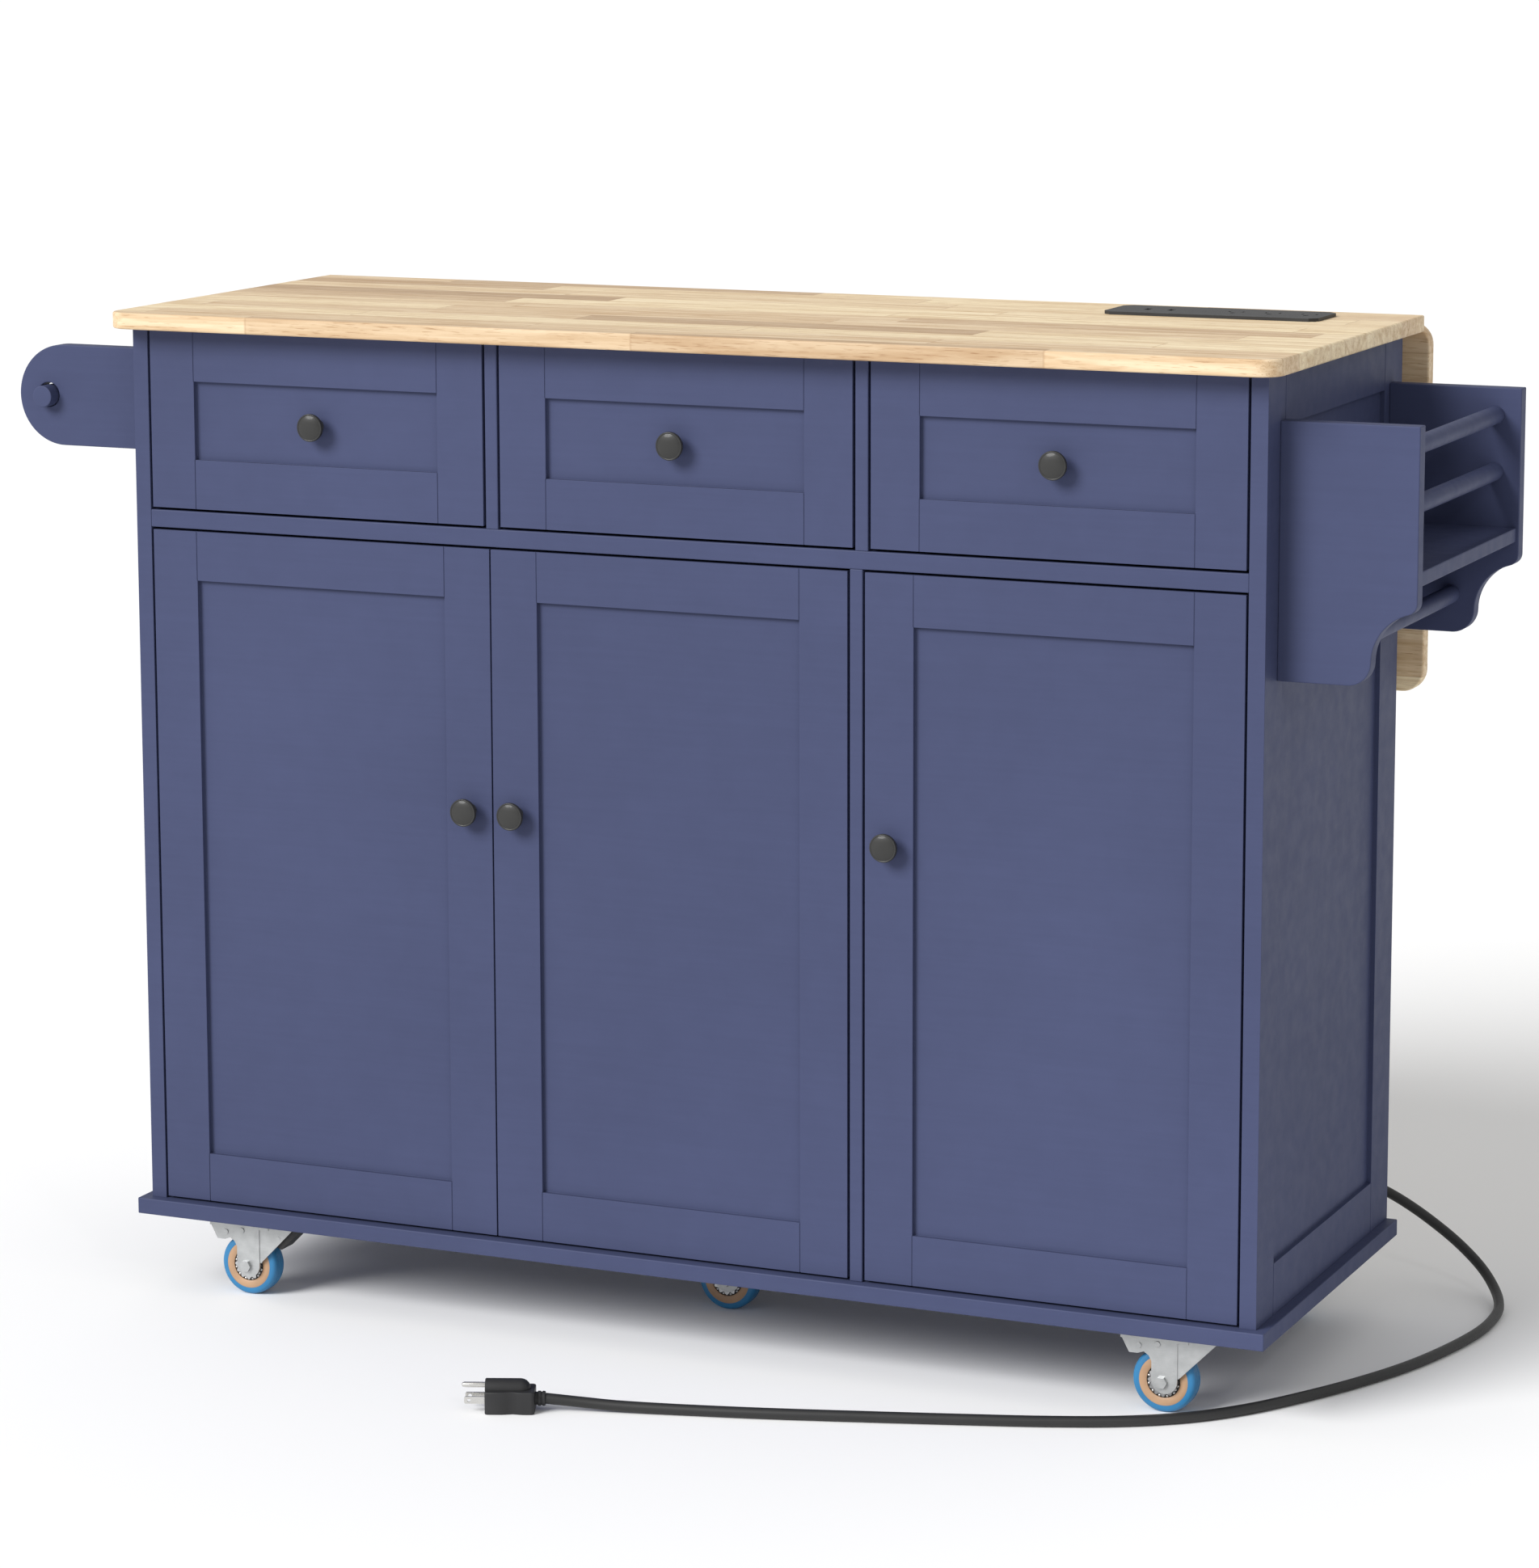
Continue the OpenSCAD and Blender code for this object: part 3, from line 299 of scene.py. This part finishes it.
def soften(obj, width, segments):
    """Rounds the sharp edges, once coplanar faces are joined so that none of their seams shows."""
    weld = obj.modifiers.new("weld", "WELD")
    weld.merge_threshold = 1e-6
    flat = obj.modifiers.new("flat", "DECIMATE")
    flat.decimate_type, flat.angle_limit = "DISSOLVE", math.radians(0.3)
    bevel = obj.modifiers.new("bevel", "BEVEL")
    bevel.width, bevel.segments = width, segments
    bevel.limit_method, bevel.angle_limit = "ANGLE", math.radians(40)
    bevel.use_clamp_overlap = True
    even = obj.modifiers.new("even", "WEIGHTED_NORMAL")
    even.weight, even.keep_sharp = 90, True


for part in frame["record"]["subparts"]:
    obj, slot_name = NODES[part["node"]], part["material_slot"]
    surface = LEAF_WOOD if part["node"] == "drop_leaf" else SLOT_MATERIALS[slot_name]
    obj.data.materials.clear()
    obj.data.materials.append(surface)
    if slot_name in EDGE_MM:
        soften(obj, EDGE_MM[slot_name] * MM, 3 if slot_name == "butcher_block" else 2)


# ---------------------------------------------------------------- mesh pieces
TO_Y = Matrix.Rotation(-math.pi / 2, 4, "X")     # local z becomes +Y
TO_FRONT = Matrix.Rotation(math.pi / 2, 4, "X")  # local z becomes -Y
TO_X = Matrix.Rotation(math.pi / 2, 4, "Y")      # local z becomes +X


def at(point, turn=Matrix.Identity(4)):
    return Matrix.Translation(point) @ turn


def shifted(x=0.0, y=0.0, z=0.0):
    """A move in millimetres."""
    return Matrix.Translation(Vector((x, y, z)) * MM)


class Piece:
    """Collects lathed, extruded and other closed shapes in millimetres, then makes one mesh object."""

    def __init__(self):
        self.bm = bmesh.new()

    def add(self, verts, faces, mat=0, place=Matrix.Identity(4)):
        made = [self.bm.verts.new(place @ (Vector(v) * MM)) for v in verts]
        new = []
        for f in faces:
            face = self.bm.faces.new([made[i] for i in f])
            face.material_index = mat
            face.smooth = True
            new.append(face)
        bmesh.ops.recalc_face_normals(self.bm, faces=new)
        return self

    def lathe(self, profile, mat=0, place=Matrix.Identity(4), sides=48):
        """Revolves (radius, height) points, a closed loop, about local z."""
        verts, ring = [], []
        for r, h in profile:
            if r < 1e-6:
                ring.append([len(verts)] * sides)
                verts.append((0, 0, h))
            else:
                ring.append(list(range(len(verts), len(verts) + sides)))
                verts += [(r * math.cos(2 * math.pi * k / sides), r * math.sin(2 * math.pi * k / sides), h)
                          for k in range(sides)]
        faces = []
        for a, b in zip(ring, ring[1:] + ring[:1]):
            for k in range(sides):
                n = (k + 1) % sides
                face = list(dict.fromkeys((a[k], a[n], b[n], b[k])))
                if len(face) > 2:
                    faces.append(face)
        return self.add(verts, faces, mat, place)

    def prism(self, outline, low, high, mat=0, place=Matrix.Identity(4)):
        n = len(outline)
        verts = [(x, y, low) for x, y in outline] + [(x, y, high) for x, y in outline]
        faces = [list(range(n))[::-1], [n + i for i in range(n)]]
        faces += [[i, (i + 1) % n, n + (i + 1) % n, n + i] for i in range(n)]
        return self.add(verts, faces, mat, place)

    def ball(self, radius, centre, mat=0, place=Matrix.Identity(4), sides=12):
        half = [(radius * math.sin(math.pi * k / 8), centre[2] - radius * math.cos(math.pi * k / 8))
                for k in range(9)]
        half[0], half[-1] = (0, half[0][1]), (0, half[-1][1])
        return self.lathe(half, mat, place @ shifted(centre[0], centre[1]), sides)

    def done(self, name, body, mats, replaces=(), slot=None, bevel=0.0, sharp=38):
        for edge in self.bm.edges:
            if len(edge.link_faces) == 2 and edge.calc_face_angle(0) > math.radians(sharp):
                edge.smooth = False
        mesh = bpy.data.meshes.new(name)
        self.bm.to_mesh(mesh)
        self.bm.free()
        obj = bpy.data.objects.new(name, mesh)
        bpy.context.scene.collection.objects.link(obj)
        for m in mats:
            mesh.materials.append(m)
        if bevel:
            mod = obj.modifiers.new("bevel", "BEVEL")
            mod.width, mod.segments = bevel * MM, 3
            mod.limit_method, mod.angle_limit = "ANGLE", math.radians(sharp)
            mod.harden_normals = True
        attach(obj, body)
        if replaces:
            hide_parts(*replaces)
        return obj


def circle(radius, count, x=0.0, y=0.0, start=0.0):
    return [(x + radius * math.cos(start + 2 * math.pi * k / count),
             y + radius * math.sin(start + 2 * math.pi * k / count)) for k in range(count)]


# wheels: blue tread with two fine grooves, tan core, dark hub, scalloped bearing cover with its balls
TYRE = [(22.2, -9.4), (25.2, -9.4), (27.2, -8.4), (28.2, -6.8), (28.5, -5.2), (28.5, -3.1), (28.1, -2.9),
        (28.1, -2.5), (28.5, -2.3)]
TYRE = TYRE + [(r, -h) for r, h in reversed(TYRE)]
CORE = [(15.2, -9.3), (15.8, -9.7), (21.4, -9.7), (22.2, -9.3)]
CORE = CORE + [(r, -h) for r, h in reversed(CORE)]
HUB = [(3.1, -8.3), (15.25, -8.3), (15.25, 8.3), (3.1, 8.3)]
HUB_FACE, COVER_FACE = 8.3, 9.8   # distances from the wheel's middle plane
BALL_R, BALL_RING = 1.4, 13.6
LOBES = 12
COVER_R, LOBE_DEPTH, COVER_STEPS = 12.9, 1.25, 168
COVER = []
for k in range(COVER_STEPS):
    a = 2 * math.pi * k / COVER_STEPS
    r = COVER_R + LOBE_DEPTH * math.cos(LOBES * a)
    COVER.append((r * math.cos(a), r * math.sin(a)))
CASTERS = ("front_left", "front_right", "centre", "rear_left", "rear_right")
for place_name in CASTERS:
    node = "caster_wheel_" + place_name
    spot = at(mid(node), TO_Y)
    wheel = Piece()
    wheel.lathe(TYRE, 0, spot, 96)
    wheel.lathe(CORE, 1, spot, 96)
    wheel.lathe(HUB, 2, spot, 64)
    for low, high in ((-COVER_FACE, -HUB_FACE), (HUB_FACE, COVER_FACE)):
        wheel.prism(COVER, low, high, 3, spot)
        for k in range(LOBES):
            a = 2 * math.pi * (k + 0.5) / LOBES
            centre = (BALL_RING * math.cos(a), BALL_RING * math.sin(a), (low + high) * 0.46)
            wheel.ball(BALL_R, centre, 3, spot, 12)
    for sign in (-1, 1):
        washer = [(3.1, 9.7 * sign), (6.2, 9.7 * sign), (6.0, 10.5 * sign), (3.1, 10.5 * sign)]
        wheel.lathe(washer, 3, spot, 32)
    wheel.done("wheel_" + place_name, "wheel_" + place_name, [BLUE_TYRE, TAN_CORE, DARK_RING, BRIGHT],
               [node], "wheel_tyre")

# knobs: a turned mushroom on a flared foot
KNOB_PROFILE = [
    (0, 0), (7.0, 0), (7.2, 0.7), (6.4, 1.6), (5.0, 2.8), (4.4, 4.6), (4.4, 7.6), (5.4, 9.0), (8.6, 10.0),
    (11.6, 10.6), (12.4, 11.2), (12.5, 11.9), (12.5, 13.7), (12.3, 14.4), (11.8, 14.7), (11.3, 14.6),
    (10.9, 14.3), (10.5, 14.5), (8.0, 15.3), (4.4, 15.8), (0, 16),
]
for kind in ("drawer", "door"):
    for side in ("left", "centre", "right"):
        node = f"{kind}_knob_{side}"
        base = mid(node)
        base.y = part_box(node)[1].y
        Piece().lathe(KNOB_PROFILE, 0, at(base, TO_FRONT), 64).done(
            f"{kind}_handle_{side}", f"{kind}_{side}", [KNOB], [node], "dark_knob", sharp=50)

# cord gland: flanges and a ribbed, tapered sleeve
gland_mid = mid("cord_gland")
gland = at(Vector((gland_mid.x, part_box("cord_gland")[0].y, gland_mid.z)), TO_Y)
sleeve = [(4.8, 15.1), (8.6, 15.1)]
RIBS = 6
for k in range(RIBS):
    r, h = 8.5 - 0.42 * k, 15.6 + 4.1 * k
    sleeve += [(r, h), (r - 0.1, h + 2.4), (r - 1.1, h + 2.7), (r - 1.2, h + 3.8)]
sleeve += [(5.9, 41.2), (5.5, 41.9), (4.8, 41.9)]
gland_piece = Piece()
gland_piece.lathe([(0, 0), (11.4, 0), (12, 0.6), (12, 2.9), (0, 2.9)], 0, gland)
gland_piece.lathe([(0, 2.9), (8.9, 2.9), (8.9, 12.1), (0, 12.1)], 0, gland)
gland_piece.lathe([(0, 12.1), (12, 12.1), (12, 14.4), (11.4, 15.1), (0, 15.1)], 0, gland)
gland_piece.lathe(sleeve, 0, gland)
gland_piece.done("gland", "root", [SOFT_BLACK], ["cord_gland"], "cord_rubber")

# the free cord
curve = bpy.data.curves.new("mains_cord", "CURVE")
curve.dimensions = "3D"
curve.bevel_depth, curve.bevel_resolution, curve.resolution_u = CORD_D / 2, 6, 8
spline = curve.splines.new("BEZIER")
spline.bezier_points.add(len(ROUTE) - 1)
for index, (point, where) in enumerate(zip(spline.bezier_points, ROUTE)):
    before, after = ROUTE[max(index - 1, 0)], ROUTE[min(index + 1, len(ROUTE) - 1)]
    lean = (after - before) / 6
    point.co = where
    point.handle_left, point.handle_right = where - lean, where + lean
curve.use_fill_caps = True
curve.materials.append(SOFT_BLACK)
cord = bpy.data.objects.new("mains_cord", curve)
bpy.context.scene.collection.objects.link(cord)
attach(cord, "root")
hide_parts("power_cord")

# plug: block with a waisted grip, hood round the ground pin, ringed neck
plug_place = at(ROUTE[-1], Matrix.Rotation(PLUG_TURN, 4, "Z"))
floor_place = plug_place @ Matrix.Translation((0, 0, -ROUTE[-1].z))
NECK, BLOCK, TALL, HOOD = 9, 43, 20, 31   # lengths along the plug, and the block's height
GROUND_RISE, BLADE_GAP = 11.9, 12.7       # ground pin above the blades, and blade to blade
grip = [(0, 12), (2, 14), (10, 14), (14, 13.4), (19, 12.3), (24, 13.2), (28, 14), (41, 14), (43, 13)]
grip = [(NECK + x, -y) for x, y in grip] + [(NECK + x, y) for x, y in reversed(grip)]
block = Piece().prism(grip, 0, TALL, 0, floor_place)
block.done("plug_block", "root", [BLACK], ["plug_body"], "black_plastic", bevel=1.2)
hood_profile = [(0, -8.2), (2.6, -7.8), (5.0, -6.6), (6.9, -4.6), (8.0, -2.4), (8.5, 0),
                (8.5, HOOD - 0.6), (8.0, HOOD), (0, HOOD)]
hood = Piece()
hood.lathe(hood_profile, 0, floor_place @ shifted(NECK + BLOCK - HOOD, 0, TALL) @ TO_X, 48)
neck = [(0, 0), (5.6, 0), (6.4, 0.6), (6.5, 2.6), (5.7, 3.0), (5.7, 3.8), (6.5, 4.2), (6.5, 6.4), (5.7, 6.8),
        (5.7, 9.4), (0, 9.4)]
hood.lathe(neck, 0, plug_place @ TO_X, 40)
hood_obj = hood.done("plug_hood", "root", [BLACK], [], "black_plastic")


def blade(piece, y):
    """A flat blade with a chamfered tip and a round hole through it, seen from its side."""
    length, tall, thick, hole_x, hole_r, sides = 18.0, 6.3, 1.5, 14.0, 1.6, 16
    ring = circle(hole_r, sides, hole_x, 0, math.pi / 4)
    outer = [(length, tall / 2 - 1), (length - 1, tall / 2), (hole_x - 3, tall / 2), (0, tall / 2),
             (0, -tall / 2), (hole_x - 3, -tall / 2), (length - 1, -tall / 2), (length, -tall / 2 + 1)]
    blade_place = plug_place @ shifted(NECK + BLOCK, y - thick / 2) @ TO_Y
    verts = [(x, z, depth) for depth in (0, thick) for x, z in outer + ring]
    n, size = len(outer), len(outer + ring)
    bm = piece.bm
    made = [bm.verts.new(blade_place @ (Vector(v) * MM)) for v in verts]
    new = []
    for base in (0, size):
        outline_edges = [bm.edges.new((made[base + i], made[base + (i + 1) % n])) for i in range(n)]
        hole_edges = [bm.edges.new((made[base + n + i], made[base + n + (i + 1) % sides]))
                      for i in range(sides)]
        filled = bmesh.ops.triangle_fill(bm, use_beauty=True, edges=outline_edges + hole_edges)
        new += [g for g in filled["geom"] if isinstance(g, bmesh.types.BMFace)]
    for i in range(n):
        new.append(bm.faces.new([made[i], made[(i + 1) % n], made[size + (i + 1) % n], made[size + i]]))
    for i in range(sides):
        a, b = n + i, n + (i + 1) % sides
        new.append(bm.faces.new([made[b], made[a], made[size + a], made[size + b]]))
    for face in new:
        face.smooth = True
    bmesh.ops.recalc_face_normals(bm, faces=new)


pins = Piece()
for side in (-BLADE_GAP / 2, BLADE_GAP / 2):
    blade(pins, side)
pins.lathe([(0, 0), (2.4, 0), (2.4, 18.2), (1.9, 19.7), (1.0, 20.3), (0, 20.5)], 0,
           plug_place @ shifted(NECK + BLOCK, 0, GROUND_RISE) @ TO_X, 24)
pins_obj = pins.done("plug_pins", "root", [BLADE], ["plug_blades"], "blade_metal")

# tongues inside the two charging ports of the power strip
low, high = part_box("power_strip")
PORTS_X, PORTS_Y = (32.6, 54.6), 32.5   # from the strip's left front corner
tongues = Piece()
for x in PORTS_X:
    port = Matrix.Translation(Vector((low.x + x * MM, low.y + PORTS_Y * MM, high.z)))
    tongues.prism([(-0.95, -5.4), (0.95, -5.4), (0.95, 5.4), (-0.95, 5.4)], -12.05, -1.3, 0, port)
    tongues.prism([(-1.25, -4.6), (-0.95, -4.6), (-0.95, 4.6), (-1.25, 4.6)], -11.0, -2.0, 1, port)
tongues.done("port_tongues", "root", [PORT, BLADE], [], "black_plastic", bevel=0.15)

# ---------------------------------------------------------------- floor and light
FLOOR = 60
corners = [(-FLOOR, -FLOOR, 0), (FLOOR, -FLOOR, 0), (FLOOR, FLOOR, 0), (-FLOOR, FLOOR, 0)]
floor_mesh = bpy.data.meshes.new("floor")
floor_mesh.from_pydata(corners, [], [(0, 1, 2, 3)])
floor = bpy.data.objects.new("floor", floor_mesh)
bpy.context.scene.collection.objects.link(floor)
pale = bpy.data.materials.new("pale_floor")
pale.use_nodes = True
pale_shader = pale.node_tree.nodes["Principled BSDF"]
pale_shader.inputs["Base Color"].default_value = (0.90, 0.90, 0.90, 1)
pale_shader.inputs["Roughness"].default_value = 0.9
pale_shader.inputs["Specular IOR Level"].default_value = 0.1
floor_mesh.materials.append(pale)

world = bpy.data.worlds.new("studio")
bpy.context.scene.world = world
world.use_nodes = True
backdrop = world.node_tree.nodes["Background"]
backdrop.inputs["Color"].default_value = (1, 1, 1, 1)
backdrop.inputs["Strength"].default_value = 0.6


def lamp(name, kind, where, target, power, size):
    data = bpy.data.lights.new(name, kind)
    data.energy = power
    if kind == "SUN":
        data.angle = size
    else:
        data.shape, data.size, data.size_y = "RECTANGLE", size, size / 2
    obj = bpy.data.objects.new(name, data)
    bpy.context.scene.collection.objects.link(obj)
    obj.location = where
    obj.rotation_euler = (Vector(target) - Vector(where)).to_track_quat("-Z", "Y").to_euler()


lamp("key", "SUN", (-2.2, -3.8, 3.2), (0, 0, 0.4), 3.4, math.radians(30))
lamp("glint", "AREA", (3.0, -3.2, 2.9), (0, 0, 0.6), 9, 0.35)
bpy.context.scene.view_settings.view_transform = "Standard"
bpy.context.scene.view_settings.look = "None"

bpy.context.view_layer.update()
